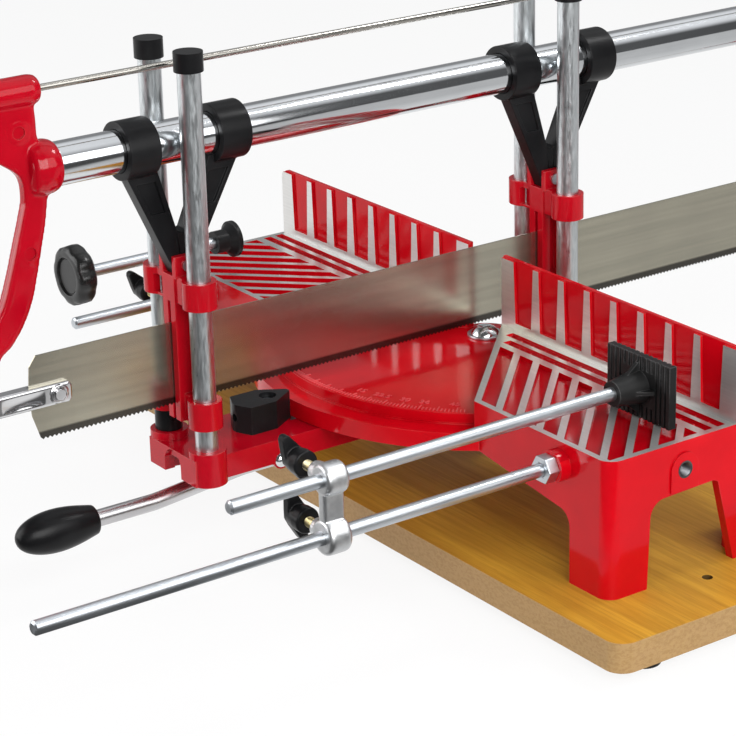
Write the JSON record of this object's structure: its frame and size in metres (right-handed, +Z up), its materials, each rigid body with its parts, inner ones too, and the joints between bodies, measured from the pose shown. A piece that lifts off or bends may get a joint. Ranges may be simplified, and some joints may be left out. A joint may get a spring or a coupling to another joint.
{
  "type": "manual mitre saw",
  "caption": "Manual mitre saw on a wooden board: ribbed red bed with fences, swivel arm with guide posts, tensioned frame saw with handle, index lever and two work clamps.",
  "frame": {"origin": "on the swivel axis, in the plane of the baseboard's underside", "axes": "+Z up, +X to the right along the fence, +Y away from the saw's handle"},
  "size_m": [0.488, 0.6851, 0.282],
  "materials": {
    "board": "satin",
    "rubber": "matte",
    "red_casting": "gloss red paint, machined ribs and rims bare",
    "red_plastic": "gloss",
    "black_plastic": "satin",
    "zinc": "bright zinc plate",
    "bright": "bright",
    "chrome_tube": "polished",
    "blade_steel": "brushed",
    "dark_steel": "blackened",
    "die_cast": "die cast",
    "yellow_zinc": "yellow zinc"
  },
  "bodies": {
    "base": {"baseboard": "board", "rubber_feet": "rubber", "base_screws": "zinc", "bed_casting": "red_casting", "pivot_bolt": "bright", "pivot_washer": "zinc", "pivot_nut": "zinc", "rod_nuts": "zinc", "right_post_rod": "zinc", "left_post_rod": "zinc"},
    "arm": {"swivel_arm": "red_casting", "post_front_right": "zinc", "post_front_left": "zinc", "post_rear_right": "zinc", "post_rear_left": "zinc", "post_caps": "black_plastic", "stop_sleeves": "black_plastic", "index_block": "black_plastic", "index_block_screw": "zinc", "lever_pin": "bright", "lever_spring": "dark_steel"},
    "lever": {"index_lever": "bright", "index_tooth": "dark_steel", "lever_grip": "black_plastic"},
    "front_guide": {"front_carriage": "red_plastic", "front_yoke": "black_plastic", "front_yoke_pin": "zinc"},
    "rear_guide": {"rear_carriage": "red_plastic", "rear_yoke": "black_plastic", "rear_yoke_pin": "zinc"},
    "saw": {"frame_tube": "chrome_tube", "tension_rod": "zinc", "handle_right": "red_casting", "handle_left": "red_casting", "handle_screws": "zinc", "rear_arm": "red_casting", "saw_blade": "blade_steel", "front_clip": "zinc", "rear_clip": "zinc", "rear_clip_nut": "zinc", "blade_pins": "zinc"},
    "tension": {"tension_nut": "zinc"},
    "right_slider": {"right_link": "die_cast"},
    "right_clamp": {"right_clamp_rod": "zinc", "right_pad": "rubber"},
    "right_upper_lock": {"right_wing_upper": "black_plastic", "right_screw_upper": "yellow_zinc"},
    "right_lower_lock": {"right_wing_lower": "black_plastic", "right_screw_lower": "yellow_zinc"},
    "left_slider": {"left_link": "die_cast"},
    "left_clamp": {"left_foot": "black_plastic"},
    "left_turn": {"left_spindle": "zinc", "left_knob": "black_plastic"},
    "left_lock": {"left_wing": "black_plastic", "left_screw": "yellow_zinc"}
  },
  "joints": [
    {"name": "arm_swivel", "type": "hinge", "parent": "base", "child": "arm", "pos_m": [0, 0, 0], "axis": [0, 0, 1], "range_deg": [-36, 25]},
    {"name": "index_lever", "type": "hinge", "parent": "arm", "child": "lever", "pos_m": [0, -0.1537, 0.0517], "axis": [-1, 0, 0], "range_deg": [0, 5], "stiffness_Nm_per_rad": 0.5, "springref_deg": -11.46, "deforming": ["lever_spring"]},
    {"name": "front_lift", "type": "slide", "parent": "arm", "child": "front_guide", "axis": [0, 0, 1], "range_m": [0, 0.105]},
    {"name": "rear_lift", "type": "slide", "parent": "arm", "child": "rear_guide", "axis": [0, 0, 1], "range_m": [0, 0.105]},
    {"name": "saw_stroke", "type": "slide", "parent": "front_guide", "child": "saw", "axis": [0, 1, 0], "range_m": [-0.15, 0.02]},
    {"name": "tension_turn", "type": "hinge", "parent": "saw", "child": "tension", "pos_m": [0, 0.272, 0.267], "axis": [0, 1, 0], "range_deg": [-180, 180]},
    {"name": "right_link_slide", "type": "slide", "parent": "base", "child": "right_slider", "axis": [0, 1, 0], "range_m": [-0.1, 0.01]},
    {"name": "right_rod_slide", "type": "slide", "parent": "right_slider", "child": "right_clamp", "axis": [0, 1, 0], "range_m": [-0.15, 0.017]},
    {"name": "right_upper_lock_turn", "type": "hinge", "parent": "right_slider", "child": "right_upper_lock", "pos_m": [0.141, -0.219, 0.107], "axis": [-1, 0, 0], "range_deg": [0, 180]},
    {"name": "right_lower_lock_turn", "type": "hinge", "parent": "right_slider", "child": "right_lower_lock", "pos_m": [0.141, -0.219, 0.078], "axis": [-1, 0, 0], "range_deg": [0, 180]},
    {"name": "left_link_slide", "type": "slide", "parent": "base", "child": "left_slider", "axis": [0, -1, 0], "range_m": [-0.004, 0.045]},
    {"name": "left_feed", "type": "slide", "parent": "left_slider", "child": "left_clamp", "axis": [0, 1, 0], "range_m": [0, 0.03]},
    {"name": "left_knob_turn", "type": "hinge", "parent": "left_clamp", "child": "left_turn", "pos_m": [-0.167, -0.171, 0.107], "axis": [0, 1, 0], "range_deg": [0, 8640]},
    {"name": "left_lock_turn", "type": "hinge", "parent": "left_slider", "child": "left_lock", "pos_m": [-0.193, -0.107, 0.078], "axis": [-1, 0, 0], "range_deg": [0, 180]}
  ],
  "couplings": [
    {"joint": "rear_lift", "follows": "front_lift", "ratio": 1},
    {"joint": "left_feed", "follows": "left_knob_turn", "m_per_rad": 0.00019894}
  ]
}
